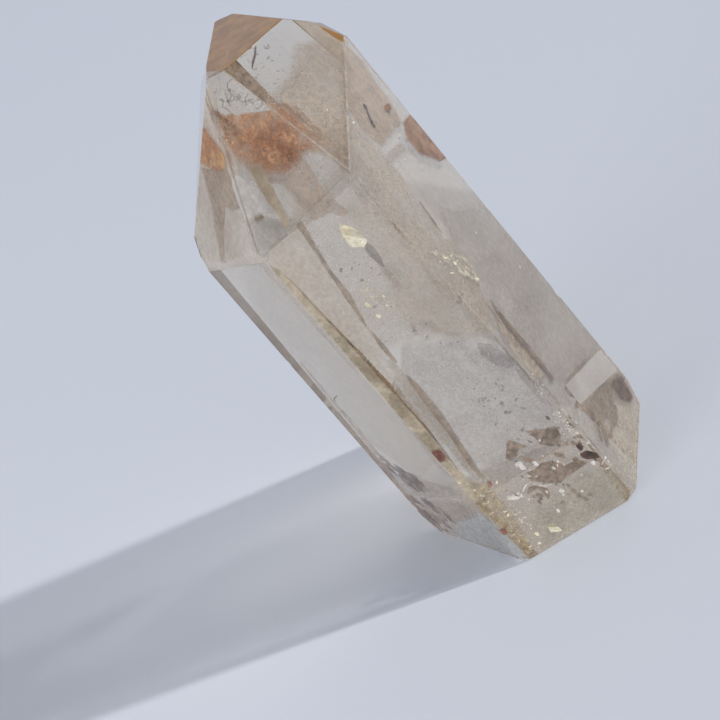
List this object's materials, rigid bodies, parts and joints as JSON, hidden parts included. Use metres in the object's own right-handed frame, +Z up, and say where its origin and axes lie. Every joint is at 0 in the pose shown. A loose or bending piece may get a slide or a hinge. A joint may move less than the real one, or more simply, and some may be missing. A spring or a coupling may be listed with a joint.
{
  "type": "included quartz crystal",
  "caption": "Clear six-sided quartz point with iron stains, veils and flakes inside, polished all over and sawn flat at its foot so that it stands upright.",
  "frame": {"origin": "middle of the flat foot, on the plane the crystal stands on", "axes": "+Z up the crystal towards its point, -Y the face seen at the front"},
  "size_m": [0.0421, 0.0404, 0.1019],
  "materials": {
    "clear_quartz": "polished",
    "iron_stain": "matt, earthy",
    "healed_veil": "matt, cloudy",
    "mineral_flake": "bright, pearly",
    "dark_mineral": "dull, dark"
  },
  "bodies": {
    "root": {"quartz_crystal": "clear_quartz"}
  },
  "joints": []
}
